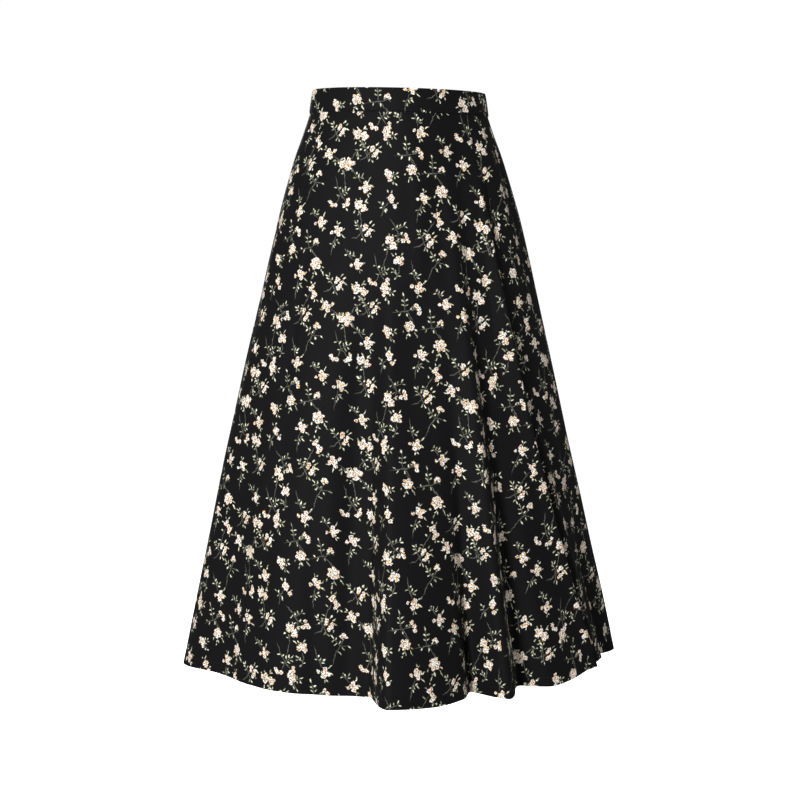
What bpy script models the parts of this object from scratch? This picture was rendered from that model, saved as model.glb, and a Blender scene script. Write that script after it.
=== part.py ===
"""A long a-line skirt, filled out as it hangs from a wearer's waist: two flared panels and a waistband.

Metres, +Z up. The origin is the centre of the waist opening, on the level of the band's top edge. The front faces
-Y. Every ring of the cloth is an oval with fold lines laid over it, and rings lie at equal distances down the cloth.
"""
import math

import bpy
from mathutils import Vector

NAME = "a_line_skirt"

# Driving sizes
CLOTH_LENGTH = 0.822      # down the cloth, from the band's top edge to the hem
BAND_HEIGHT = 0.033       # of the finished waistband
PANEL_WALL = 0.0015       # a panel's cloth
BAND_WALL = 0.0022        # cloth folded double over interfacing
BAND_PROUD = 0.0005       # how far the band stands out from the top of the panels
SEAM_GAP = 0.0003         # between two pieces at a seam
WAIST_TILT = 0.0028       # how far the waist's right end sits below its middle
FOLD_MIDDLE = 0.40        # the level, down the cloth, of the fold table's out_middle column

# Spacing of the mesh
RING_SPACING = 0.034      # between the panels' rings, down the cloth
COLUMN_DEGREES = 5.0      # widest step round a panel
FEWEST_STEPS = 3          # columns between two neighbouring fold lines
EDGE_SHARE = 0.08         # of one column: the narrow strip along a side edge, which keeps that edge square

# The oval at some levels, each a distance down the cloth
SECTION_COLUMNS = ("down", "half_width", "front_depth", "back_depth")
SECTIONS = (
    (0.000, 0.1195, 0.096, 0.092),
    (0.033, 0.1245, 0.099, 0.098),
    (0.058, 0.1320, 0.103, 0.105),
    (0.088, 0.1425, 0.107, 0.113),
    (0.116, 0.1512, 0.111, 0.121),
    (0.174, 0.1672, 0.119, 0.135),
    (0.232, 0.1808, 0.127, 0.143),
    (0.290, 0.1943, 0.134, 0.149),
    (0.406, 0.2203, 0.147, 0.160),
    (0.523, 0.2460, 0.161, 0.173),
    (0.640, 0.2713, 0.175, 0.187),
    (0.760, 0.2970, 0.189, 0.202),
    (0.822, 0.3102, 0.196, 0.210),
)

# Lines that run down the cloth along the crests and hollows of its folds, in order round the waist. Angles are about
# the oval's centre, in degrees from the centre front towards +X. A line leaves the oval at begins, and stands out
# from it (or in, below zero) by out_middle and out_hem. bend above 1 turns it mostly near the hem. crisp is 0 for a
# round fold and 1 for a sharp one. hem_low is how much lower than its plain fall the hem hangs there.
FOLD_COLUMNS = ("name", "top_deg", "hem_deg", "bend", "begins", "out_middle", "out_hem", "crisp", "hem_low")
FOLDS = (
    ("left_side", -90.0, -90.0, 1.0, 0.033, 0.000, -0.005, 0.0, 0.004),
    ("left_edge", -80.0, -79.0, 1.0, 0.200, 0.000, 0.002, 0.0, 0.003),
    ("left_dip", -62.0, -57.0, 1.0, 0.150, -0.003, -0.017, 0.0, -0.006),
    ("left_swell", -32.0, -29.0, 1.0, 0.150, 0.003, 0.015, 0.0, -0.006),
    ("front_flat", -20.0, -17.0, 1.0, 0.150, -0.002, 0.006, 0.0, -0.007),
    ("lap_hollow", -13.0, -7.0, 1.0, 0.100, -0.007, 0.006, 0.3, -0.008),
    ("lap_crest", -3.5, -2.0, 1.0, 0.150, 0.010, 0.080, 0.3, 0.003),
    ("lap_slope", 5.0, 6.0, 1.0, 0.150, 0.006, 0.064, 0.0, 0.001),
    ("lap_edge", 11.0, 13.7, 1.0, 0.150, 0.005, 0.034, 0.6, -0.006),
    ("knee_hollow", 16.0, 18.6, 0.5, 0.100, 0.004, -0.006, 0.4, -0.010),
    ("knee_crest", 25.0, 23.2, 1.6, 0.050, 0.013, 0.040, 0.5, -0.001),
    ("hip_hollow", 33.0, 35.0, 1.0, 0.050, -0.013, -0.019, 0.3, -0.008),
    ("low_swell", 39.0, 42.5, 1.0, 0.100, -0.009, 0.002, 0.0, -0.001),
    ("long_crest", 43.0, 60.0, 2.6, 0.033, 0.002, -0.004, 0.8, -0.005),
    ("long_hollow", 52.0, 87.0, 1.6, 0.033, -0.014, -0.026, 0.5, 0.000),
    ("right_side", 90.0, 99.0, 1.0, 0.033, 0.000, 0.006, 0.0, 0.000),
    ("right_rear_dip", 122.0, 121.0, 1.0, 0.100, -0.007, -0.022, 0.1, -0.004),
    ("rear_crest_right", 141.0, 139.0, 0.8, 0.060, 0.011, 0.038, 0.3, 0.003),
    ("rear_dip_right", 155.0, 154.0, 1.0, 0.120, -0.006, -0.014, 0.1, -0.004),
    ("rear_crest_middle", 174.0, 171.0, 1.0, 0.160, 0.008, 0.052, 0.3, 0.004),
    ("rear_dip_left", 192.0, 188.0, 1.0, 0.120, -0.006, -0.012, 0.2, -0.005),
    ("rear_crest_left", 209.0, 207.0, 0.8, 0.080, 0.009, 0.034, 0.3, 0.002),
    ("left_rear_dip", 229.0, 227.0, 1.0, 0.120, -0.007, -0.020, 0.0, -0.004),
    ("left_rear_swell", 251.0, 249.0, 1.0, 0.150, 0.003, 0.014, 0.0, 0.002),
)

# Colour, roughness and metallic value
MATERIALS = {
    "printed_cloth": ((0.012, 0.012, 0.014, 1.0), 0.62, 0.0),
    "band_cloth": ((0.014, 0.014, 0.016, 1.0), 0.60, 0.0),
}


def rows(columns, table):
    """A table's rows, each as a dictionary of its named columns."""
    return [dict(zip(columns, row)) for row in table]


def slopes(xs, ys):
    """Slope at each point of a smooth curve that keeps the points' own highs and lows."""
    steps = [(y1 - y0) / (x1 - x0) for x0, x1, y0, y1 in zip(xs, xs[1:], ys, ys[1:])]
    inner = [0.0 if a * b <= 0.0 else 2.0 * a * b / (a + b) for a, b in zip(steps, steps[1:])]
    return [steps[0]] + inner + [steps[-1]]


def hermite(share, width, y0, y1, slope0, slope1):
    """Cubic between two values, share of the way along a stretch of this width."""
    square = share * share
    cube = square * share
    return (
        (2.0 * cube - 3.0 * square + 1.0) * y0
        + (3.0 * square - 2.0 * cube) * y1
        + (cube - 2.0 * square + share) * width * slope0
        + (cube - square) * width * slope1
    )


def smooth_curve(xs, ys):
    """A function that passes smoothly through the points, level with the last one beyond each end."""
    tangents = slopes(xs, ys)

    def value(x):
        x = min(max(x, xs[0]), xs[-1])
        i = max(k for k in range(len(xs) - 1) if xs[k] <= x)
        width = xs[i + 1] - xs[i]
        return hermite((x - xs[i]) / width, width, ys[i], ys[i + 1], tangents[i], tangents[i + 1])

    return value


SECTION_ROWS = rows(SECTION_COLUMNS, SECTIONS)
LEVELS = [row["down"] for row in SECTION_ROWS]
half_width = smooth_curve(LEVELS, [row["half_width"] for row in SECTION_ROWS])
front_depth = smooth_curve(LEVELS, [row["front_depth"] for row in SECTION_ROWS])
back_depth = smooth_curve(LEVELS, [row["back_depth"] for row in SECTION_ROWS])


class FoldLine:
    """One crest or hollow, from the waist to the hem."""

    def __init__(self, row, turn=0.0):
        self.name = row["name"]
        self.crisp = row["crisp"]
        self.hem_low = row["hem_low"]
        self.top = row["top_deg"] + turn
        self.hem = row["hem_deg"] + turn
        self.bend = row["bend"]
        levels = [row["begins"], FOLD_MIDDLE, CLOTH_LENGTH]
        if row["begins"] > 0.0:
            levels = [0.0] + levels
        outs = [0.0] * (len(levels) - 2) + [row["out_middle"], row["out_hem"]]
        self.out = smooth_curve(levels, outs)

    def angle(self, down):
        return self.top + (self.hem - self.top) * (down / CLOTH_LENGTH) ** self.bend


# The first line comes round again at the end, so that a stretch between two lines always has both.
LINES = [FoldLine(row) for row in rows(FOLD_COLUMNS, FOLDS)]
LINES.append(FoldLine(rows(FOLD_COLUMNS, FOLDS)[0], turn=360.0))
LINE_NAMES = [line.name for line in LINES]


def round_the_ring(angles, values, places):
    """Each line's value carried round the ring: level at a round fold, with a corner at a crisp one."""
    count = len(angles) - 1
    steps = [(values[i + 1] - values[i]) / (angles[i + 1] - angles[i]) for i in range(count)]
    before, after = [], []
    for i in range(count + 1):
        step_in = steps[(i - 1) % count]
        step_out = steps[i % count]
        product = step_in * step_out
        round_slope = 0.0 if product <= 0.0 else 2.0 * product / (step_in + step_out)
        crisp = LINES[i].crisp
        before.append(crisp * step_in + (1.0 - crisp) * round_slope)
        after.append(crisp * step_out + (1.0 - crisp) * round_slope)
    return [
        hermite(share, angles[i + 1] - angles[i], values[i], values[i + 1], after[i], before[i + 1])
        for i, share in places
    ]


def plan_points(down, places):
    """Points of one ring, seen from above. A place is (stretch, share): a stretch between two fold lines."""
    angles = [line.angle(down) for line in LINES]
    outs = round_the_ring(angles, [line.out(down) for line in LINES], places)
    wide, front, back = half_width(down), front_depth(down), back_depth(down)
    points = []
    for (stretch, share), out in zip(places, outs):
        angle = math.radians(angles[stretch] + share * (angles[stretch + 1] - angles[stretch]))
        deep = front if math.cos(angle) > 0.0 else back
        oval = Vector((wide * math.sin(angle), -deep * math.cos(angle)))
        points.append(oval + oval.normalized() * out)
    return points


def hang(levels, places, proud=0.0):
    """Rings of points at these distances down the cloth. Each column falls by what its run outwards leaves."""
    fine = sorted(set(levels) | {RING_SPACING * k for k in range(int(max(levels) / RING_SPACING) + 1)})
    hem_angles = [line.angle(CLOTH_LENGTH) for line in LINES]
    low = round_the_ring(hem_angles, [line.hem_low for line in LINES], places)
    rings = []
    falls = [0.0] * len(places)
    last, last_down = plan_points(fine[0], places), fine[0]
    for down in fine:
        here = plan_points(down, places)
        step = down - last_down
        runs = [(a - b).length for a, b in zip(here, last)]
        falls = [fall + math.sqrt(max(step * step - run * run, 0.0)) for fall, run in zip(falls, runs)]
        last, last_down = here, down
        if down in levels:
            share = down / CLOTH_LENGTH
            ring = []
            for point, fall, extra in zip(here, falls, low):
                out = point + point.normalized() * proud
                tilt = WAIST_TILT * (1.0 - share) * point.x / half_width(down)
                ring.append(Vector((out.x, out.y, -fall - extra * share * share - tilt)))
            rings.append(ring)
    return rings


def pulled_apart(ring):
    """The ring with each end drawn back by half a seam's gap."""
    first = (ring[1] - ring[0]).normalized()
    last = (ring[-2] - ring[-1]).normalized()
    return [ring[0] + first * (SEAM_GAP / 2)] + ring[1:-1] + [ring[-1] + last * (SEAM_GAP / 2)]


def places_between(first_line, last_line):
    """The columns of a panel that runs from one fold line to another, as (stretch, share)."""
    first = LINE_NAMES.index(first_line)
    last = LINE_NAMES.index(last_line, first + 1)
    places = []
    for stretch in range(first, last):
        width = LINES[stretch + 1].hem - LINES[stretch].hem
        steps = max(FEWEST_STEPS, math.ceil(width / COLUMN_DEGREES))
        places += [(stretch, k / steps) for k in range(steps)]
        if stretch == first:
            places.insert(1, (stretch, EDGE_SHARE / steps))
    return places + [(last - 1, 1.0 - EDGE_SHARE / steps), (last - 1, 1.0)]


def material(name):
    colour, roughness, metallic = MATERIALS[name]
    made = bpy.data.materials.new(name)
    made.use_nodes = True
    shader = made.node_tree.nodes["Principled BSDF"]
    shader.inputs["Base Color"].default_value = colour
    shader.inputs["Roughness"].default_value = roughness
    shader.inputs["Metallic"].default_value = metallic
    made.diffuse_color = colour
    return made


def cloth_piece(name, rings, wall, finish):
    """A piece of cloth through rings of points: its outer face as a grid, thickened inwards."""
    across = len(rings[0])
    points = [tuple(point) for ring in rings for point in ring]
    faces = []
    for r in range(len(rings) - 1):
        for c in range(across - 1):
            corner = r * across + c
            faces.append((corner, corner + across, corner + across + 1, corner + 1))
    mesh = bpy.data.meshes.new(name)
    mesh.from_pydata(points, [], faces)
    mesh.materials.append(finish)
    mesh.shade_smooth()
    piece = bpy.data.objects.new(name, mesh)
    thicken = piece.modifiers.new("Wall", "SOLIDIFY")
    thicken.thickness = wall
    thicken.offset = -1.0
    thicken.use_even_offset = True
    return piece


def evenly(start, end, spacing):
    """Levels from start to end, no further apart than the spacing."""
    count = math.ceil((end - start) / spacing)
    return [start + (end - start) * k / count for k in range(count + 1)]


def panel(name, first_line, last_line, finish):
    """A flared panel, from just under the band to the hem."""
    levels = evenly(BAND_HEIGHT + SEAM_GAP, CLOTH_LENGTH, RING_SPACING)
    rings = hang(levels, places_between(first_line, last_line))
    return cloth_piece(name, [pulled_apart(ring) for ring in rings], PANEL_WALL, finish)


def band(name, first_line, last_line, finish):
    """Half of the waistband, which stands a little proud of the panel below it."""
    levels = evenly(0.0, BAND_HEIGHT, BAND_HEIGHT / 2)
    rings = hang(levels, places_between(first_line, last_line), BAND_PROUD)
    return cloth_piece(name, [pulled_apart(ring) for ring in rings], BAND_WALL, finish)


def main():
    for old in list(bpy.data.objects):
        bpy.data.objects.remove(old, do_unlink=True)
    skirt = bpy.data.collections.new(NAME)
    bpy.context.scene.collection.children.link(skirt)
    printed = material("printed_cloth")
    banded = material("band_cloth")
    pieces = [
        panel("front_panel", "left_side", "right_side", printed),
        panel("back_panel", "right_side", "left_side", printed),
        band("waistband_front", "left_side", "right_side", banded),
        band("waistband_back", "right_side", "left_side", banded),
    ]
    for piece in pieces:
        skirt.objects.link(piece)


main()
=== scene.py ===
import math

import bpy
import numpy as np
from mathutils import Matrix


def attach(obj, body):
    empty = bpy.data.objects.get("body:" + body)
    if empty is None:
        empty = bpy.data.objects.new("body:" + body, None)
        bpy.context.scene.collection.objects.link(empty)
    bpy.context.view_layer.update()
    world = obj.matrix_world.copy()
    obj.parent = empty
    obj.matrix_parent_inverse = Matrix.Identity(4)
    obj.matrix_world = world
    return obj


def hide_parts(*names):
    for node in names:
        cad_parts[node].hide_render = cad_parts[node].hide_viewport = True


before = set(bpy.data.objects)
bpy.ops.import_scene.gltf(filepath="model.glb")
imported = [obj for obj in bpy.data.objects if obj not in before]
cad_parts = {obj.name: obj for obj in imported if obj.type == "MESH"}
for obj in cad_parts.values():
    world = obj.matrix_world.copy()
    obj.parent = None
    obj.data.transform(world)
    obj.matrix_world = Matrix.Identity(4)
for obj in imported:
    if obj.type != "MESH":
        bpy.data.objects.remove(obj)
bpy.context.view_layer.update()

print("frame loaded:", ", ".join(sorted(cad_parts)))

# The skirt's own sizes, in metres. Levels are measured down the cloth from the band's top edge.
skirt = {
    "length": 0.822,
    "bandHeight": 0.033,
    "seamGap": 0.0003,       # between the band's lower edge and the panels' line of sewing
    "seamLap": 0.00006,      # how far two sewn edges press into each other
    "waistTilt": 0.0028,     # how far the waist's right end sits below its middle
    "foldMiddle": 0.4,       # level of the folds' outMiddle column
    "hangStep": 0.004,       # how finely the cloth's fall is added up
    "sectionColumns": ("down", "halfWidth", "frontDepth", "backDepth"),
    "sections": (
        (0, 0.1195, 0.096, 0.092),
        (0.033, 0.1245, 0.099, 0.098),
        (0.058, 0.132, 0.103, 0.105),
        (0.088, 0.1425, 0.107, 0.113),
        (0.116, 0.1512, 0.111, 0.121),
        (0.174, 0.1672, 0.119, 0.135),
        (0.232, 0.1808, 0.127, 0.143),
        (0.29, 0.1943, 0.134, 0.149),
        (0.406, 0.2203, 0.147, 0.16),
        (0.523, 0.246, 0.161, 0.173),
        (0.64, 0.2713, 0.175, 0.187),
        (0.76, 0.297, 0.189, 0.202),
        (0.822, 0.3102, 0.196, 0.21),
    ),
    # crests and hollows that run down the cloth, in order round the waist from the left side
    "foldColumns": ("name", "topDeg", "hemDeg", "bend", "begins", "outMiddle", "outHem", "crisp", "hemLow"),
    "folds": (
        ("leftSide", -90, -90, 1, 0.033, 0, -0.005, 0, 0.004),
        ("leftEdge", -80, -79, 1, 0.2, 0, 0.002, 0, 0.003),
        ("leftDip", -62, -57, 1, 0.15, -0.003, -0.017, 0, -0.006),
        ("leftSwell", -32, -29, 1, 0.15, 0.003, 0.015, 0, -0.006),
        ("frontFlat", -20, -17, 1, 0.15, -0.002, 0.006, 0, -0.007),
        ("lapHollow", -13, -7, 1, 0.1, -0.007, 0.006, 0.3, -0.008),
        ("lapCrest", -3.5, -2, 1, 0.15, 0.01, 0.08, 0.3, 0.003),
        ("lapSlope", 5, 6, 1, 0.15, 0.006, 0.064, 0, 0.001),
        ("lapEdge", 11, 13.7, 1, 0.15, 0.005, 0.034, 0.6, -0.006),
        ("kneeHollow", 16, 18.6, 0.5, 0.1, 0.004, -0.006, 0.4, -0.01),
        ("kneeCrest", 25, 23.2, 1.6, 0.05, 0.013, 0.04, 0.5, -0.001),
        ("hipHollow", 33, 35, 1, 0.05, -0.013, -0.019, 0.3, -0.008),
        ("lowSwell", 39, 42.5, 1, 0.1, -0.009, 0.002, 0, -0.001),
        ("longCrest", 43, 60, 2.6, 0.033, 0.002, -0.004, 0.8, -0.005),
        ("longHollow", 52, 87, 1.6, 0.033, -0.014, -0.026, 0.5, 0),
        ("rightSide", 90, 99, 1, 0.033, 0, 0.006, 0, 0),
        ("rightRearDip", 122, 121, 1, 0.1, -0.007, -0.022, 0.1, -0.004),
        ("rearCrestRight", 141, 139, 0.8, 0.06, 0.011, 0.038, 0.3, 0.003),
        ("rearDipRight", 155, 154, 1, 0.12, -0.006, -0.014, 0.1, -0.004),
        ("rearCrestMiddle", 174, 171, 1, 0.16, 0.008, 0.052, 0.3, 0.004),
        ("rearDipLeft", 192, 188, 1, 0.12, -0.006, -0.012, 0.2, -0.005),
        ("rearCrestLeft", 209, 207, 0.8, 0.08, 0.009, 0.034, 0.3, 0.002),
        ("leftRearDip", 229, 227, 1, 0.12, -0.007, -0.02, 0, -0.004),
        ("leftRearSwell", 251, 249, 1, 0.15, 0.003, 0.014, 0, 0.002),
    ),
}


def tableRows(columns, table):
    return [dict(zip(columns, row)) for row in table]


def column(rows, name):
    return np.array([row[name] for row in rows])


def hermite(share, width, y0, y1, slope0, slope1):
    square = share * share
    cube = square * share
    return ((2 * cube - 3 * square + 1) * y0 + (3 * square - 2 * cube) * y1
            + (cube - 2 * square + share) * width * slope0 + (cube - square) * width * slope1)


def easySlope(a, b):
    # harmonic mean, and level where the curve turns
    product = a * b
    safe = np.where(product > 0, a + b, 1.0)
    return np.where(product > 0, 2 * product / safe, 0.0)


def smoothCurve(xs, ys):
    xs, ys = np.array(xs, float), np.array(ys, float)
    steps = np.diff(ys) / np.diff(xs)
    tangents = np.concatenate([steps[:1], easySlope(steps[:-1], steps[1:]), steps[-1:]])

    def value(x):
        x = np.clip(x, xs[0], xs[-1])
        i = np.clip(np.searchsorted(xs, x, side="right") - 1, 0, len(xs) - 2)
        width = xs[i + 1] - xs[i]
        return hermite((x - xs[i]) / width, width, ys[i], ys[i + 1], tangents[i], tangents[i + 1])

    return value


sectionRows = tableRows(skirt["sectionColumns"], skirt["sections"])
halfWidth, frontDepth, backDepth = [
    smoothCurve(column(sectionRows, "down"), column(sectionRows, name)) for name in skirt["sectionColumns"][1:]
]

foldRows = tableRows(skirt["foldColumns"], skirt["folds"])
foldRows.append(dict(foldRows[0], name="leftSideAgain"))
foldNames = [row["name"] for row in foldRows]
foldTurn = np.array([0.0] * (len(foldRows) - 1) + [360.0])
foldTop = column(foldRows, "topDeg") + foldTurn
foldHem = column(foldRows, "hemDeg") + foldTurn
foldBend, foldCrisp, foldLow = (column(foldRows, name) for name in ("bend", "crisp", "hemLow"))
foldOut = [
    smoothCurve([0.0, row["begins"], skirt["foldMiddle"], skirt["length"]],
                [0.0, 0.0, row["outMiddle"], row["outHem"]])
    for row in foldRows
]


def foldAngles(down):
    return foldTop + (foldHem - foldTop) * (down / skirt["length"]) ** foldBend


def roundRing(angles, values, stretch, share):
    # carries each fold line's value round the ring: level at a round fold, with a corner at a crisp one
    width = np.diff(angles)
    steps = np.diff(values) / width
    stepIn = np.concatenate([steps[-1:], steps])
    stepOut = np.concatenate([steps, steps[:1]])
    rounded = easySlope(stepIn, stepOut)
    before = foldCrisp * stepIn + (1 - foldCrisp) * rounded
    after = foldCrisp * stepOut + (1 - foldCrisp) * rounded
    end = stretch + 1
    return hermite(share, width[stretch], values[stretch], values[end], after[stretch], before[end])


# Smaller creases laid over the folds. Each runs from (topDeg, topDown) to (lowDeg, lowDown) and is
# deepest in its middle, or at the hem if it reaches it. wide is its half-width, out its height, below zero for
# a trough, and bow how far its middle swings round.
creases = {
    "columns": ("topDeg", "topDown", "lowDeg", "lowDown", "wide", "out", "bow"),
    "rows": (
        (-60, 0.036, -63, 0.3, 0.012, -0.0026, 1),
        (-38, 0.036, -44, 0.42, 0.016, 0.0014, -2),
        (-42, 0.14, -46, 0.46, 0.01, -0.0036, 0),
        (-24, 0.04, -18, 0.26, 0.01, -0.002, 0),
        (8, 0.038, 8, 0.26, 0.01, 0.0012, 1),
        (19, 0.1, 19, 0.28, 0.008, -0.0016, 0),
        (33, 0.036, 34, 0.26, 0.01, -0.0026, 0),
        (47, 0.036, 56, 0.26, 0.006, -0.0036, 1),
        (58, 0.036, 66, 0.33, 0.01, 0.003, 0),
        (72, 0.04, 78, 0.36, 0.011, -0.0022, 1),
        (-15, 0.13, -12, 0.822, 0.02, -0.008, -1.5),
        (-74, 0.25, -70, 0.8, 0.02, 0.002, 1),
        (-50, 0.33, -47, 0.822, 0.018, 0.0024, 1),
        (-40, 0.4, -38, 0.822, 0.014, -0.0024, -1),
        (-30, 0.32, -21, 0.822, 0.012, -0.0042, 0),
        (25, 0.18, 23.8, 0.822, 0.009, 0.003, 0.5),
        (36, 0.16, 38, 0.822, 0.014, -0.003, 0),
        (42.5, 0.036, 60, 0.822, 0.008, 0.0104, -4.5),
        (48.5, 0.11, 68, 0.822, 0.012, -0.0082, -3.2),
        (66, 0.25, 79, 0.822, 0.018, 0.0044, 0),
        (104, 0.036, 108, 0.42, 0.012, 0.0022, 1),
        (116, 0.2, 113, 0.822, 0.014, -0.0024, -1),
        (132, 0.036, 131, 0.36, 0.01, -0.002, 1),
        (148, 0.12, 146, 0.7, 0.011, 0.0022, 1),
        (163, 0.036, 161, 0.4, 0.012, 0.0022, -1),
        (181, 0.036, 181, 0.3, 0.01, -0.0018, 0),
        (183, 0.35, 180, 0.822, 0.014, -0.0024, 1),
        (199, 0.036, 199, 0.46, 0.012, 0.002, 1),
        (218, 0.036, 217, 0.4, 0.011, -0.0022, -1),
        (219, 0.33, 216, 0.822, 0.014, 0.0028, 1),
        (238, 0.06, 240, 0.52, 0.014, 0.002, -1),
        (262, 0.25, 260, 0.822, 0.016, -0.0022, 1),
    ),
    # the slow unevenness of hanging cloth, as waves round the ring that lean on the way down
    "waveColumns": ("waves", "out", "lean", "start"),
    "waves": (
        (7, 0.0007, 9, 0.4),
        (13, 0.0005, -14, 2.1),
        (22, 0.00025, 31, 4.4),
    ),
    "fadeShape": 0.8,        # below 1 a crease is fuller near its ends
    "waveGrowth": 6.0,       # per metre down: how quickly the unevenness comes in
}
creaseRows = tableRows(creases["columns"], creases["rows"])
waveRows = tableRows(creases["waveColumns"], creases["waves"])


def creaseRelief(degrees, down):
    radius = float(halfWidth(down))
    out = np.zeros_like(degrees)
    for row in creaseRows:
        along = (down - row["topDown"]) / (row["lowDown"] - row["topDown"])
        if not 0 <= along <= 1:
            continue
        toHem = row["lowDown"] >= skirt["length"]
        fade = math.sin(math.pi * (0.5 * along if toHem else along)) ** creases["fadeShape"]
        middle = row["topDeg"] + (row["lowDeg"] - row["topDeg"]) * along
        middle += row["bow"] * math.sin(math.pi * along)
        away = np.radians(degrees - middle) * radius / row["wide"]
        out += row["out"] * fade * np.exp(-away * away)
    grown = min(1.0, down * creases["waveGrowth"])
    for row in waveRows:
        phase = np.radians(degrees) * row["waves"] + down * row["lean"] + row["start"]
        out += row["out"] * grown * np.sin(phase)
    return out


class Ring:
    # the columns of a piece that runs from one fold line to another
    def __init__(self, firstLine, lastLine, stepDegrees, edgeSteps=()):
        first = foldNames.index(firstLine)
        last = foldNames.index(lastLine, first + 1)
        stretch, share = [], []
        for i in range(first, last):
            columns = max(4, round((foldHem[i + 1] - foldHem[i]) / stepDegrees))
            for k in range(columns):
                stretch.append(i)
                share.append(k / columns)
        stretch.append(last - 1)
        share.append(1.0)
        for small in edgeSteps:
            stretch += [first, last - 1]
            share += [small, 1.0 - small]
        order = sorted(set(zip(stretch, share)))
        self.stretch = np.array([i for i, _ in order])
        self.share = np.array([s for _, s in order])

    def degrees(self, down):
        angles = foldAngles(down)
        return angles[self.stretch] + self.share * (angles[self.stretch + 1] - angles[self.stretch])

    def plan(self, down, relief=1.0):
        lineOuts = np.array([float(out(down)) for out in foldOut])
        outs = roundRing(foldAngles(down), lineOuts, self.stretch, self.share)
        degrees = self.degrees(down)
        if relief:
            outs = outs + relief * creaseRelief(degrees, down)
        turn = np.radians(degrees)
        deep = np.where(np.cos(turn) > 0, frontDepth(down), backDepth(down))
        oval = np.stack([halfWidth(down) * np.sin(turn), -deep * np.cos(turn)], axis=1)
        length = np.linalg.norm(oval, axis=1, keepdims=True)
        return oval + oval / length * outs[:, None]

    def hang(self, levels, relief=1.0):
        # rings of points at these levels; each column falls by what its run outwards leaves
        fineStep = skirt["hangStep"]
        fine = sorted(set(levels) | {fineStep * k for k in range(int(max(levels) / fineStep) + 1)})
        low = roundRing(foldHem, foldLow, self.stretch, self.share)
        falls = np.zeros(len(self.share))
        last, lastDown = self.plan(fine[0], relief), fine[0]
        wanted, rings = set(levels), []
        for down in fine:
            here = self.plan(down, relief)
            step = down - lastDown
            run = np.linalg.norm(here - last, axis=1)
            falls = falls + np.sqrt(np.maximum(step * step - run * run, 0.0))
            last, lastDown = here, down
            if down in wanted:
                share = down / skirt["length"]
                tilt = skirt["waistTilt"] * (1 - share) * here[:, 0] / halfWidth(down)
                z = -falls - low * share * share - tilt
                rings.append(np.column_stack([here, z]))
        return np.array(rings)


def outwardNormals(grid):
    normals = np.cross(np.gradient(grid, axis=0), np.gradient(grid, axis=1))
    normals /= np.linalg.norm(normals, axis=2, keepdims=True)
    return normals


def arcLengths(ring):
    steps = np.linalg.norm(np.diff(ring, axis=0), axis=1)
    return np.concatenate([[0.0], np.cumsum(steps)])


def pressedTogether(grid):
    # a sewn seam shows no gap, so each side edge reaches a hair past the seam's line
    first = grid[:, 0] - grid[:, 1]
    last = grid[:, -1] - grid[:, -2]
    grid[:, 0] += first / np.linalg.norm(first, axis=1, keepdims=True) * skirt["seamLap"]
    grid[:, -1] += last / np.linalg.norm(last, axis=1, keepdims=True) * skirt["seamLap"]
    return grid


trimLift = 0.001    # keeps the trim map off 0 at a side edge, so that face and reverse stay apart


def placed(name, data):
    thing = bpy.data.objects.new(name, data)
    bpy.context.scene.collection.objects.link(thing)
    return thing


def clothMesh(name, loop, clothMap, trimMap, finish):
    # loop: rows of points down the outer face, round the bottom edge and up the inner face, where it closes
    rowsCount, across = loop.shape[:2]
    corner = np.arange(rowsCount * across).reshape(rowsCount, across)
    below = np.roll(corner, -1, axis=0)
    faces = np.stack([corner[:, :-1], below[:, :-1], below[:, 1:], corner[:, 1:]], axis=-1).reshape(-1, 4)
    caps = []
    for k in range((rowsCount - 1) // 2):
        low, farTop, farLow = k + 1, rowsCount - 1 - k, rowsCount - 2 - k
        left = [corner[k, 0], corner[farTop, 0], corner[farLow, 0], corner[low, 0]]
        right = [corner[k, -1], corner[low, -1], corner[farLow, -1], corner[farTop, -1]]
        if low == farLow:     # the apex of the bottom edge
            left, right = left[:3], right[:2] + right[3:]
        caps += [left, right]
    allFaces = faces.tolist() + [[int(v) for v in cap] for cap in caps]
    mesh = bpy.data.meshes.new(name)
    mesh.from_pydata(loop.reshape(-1, 3).tolist(), [], allFaces)
    mesh.update()
    index = np.empty(len(mesh.loops), dtype=np.int32)
    mesh.loops.foreach_get("vertex_index", index)
    for mapName, values in (("cloth", clothMap), ("trim", trimMap)):
        layer = mesh.uv_layers.new(name=mapName)
        layer.data.foreach_set("uv", values.reshape(-1, 2)[index].astype(np.float32).ravel())
    mesh.materials.append(finish)
    mesh.shade_smooth()
    return placed(name, mesh)


def areaOf(grid):
    a = np.cross(grid[1:, :-1] - grid[:-1, :-1], grid[:-1, 1:] - grid[:-1, :-1])
    b = np.cross(grid[1:, :-1] - grid[1:, 1:], grid[:-1, 1:] - grid[1:, 1:])
    return float((np.linalg.norm(a, axis=2).sum() + np.linalg.norm(b, axis=2).sum()) / 2)


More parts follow.
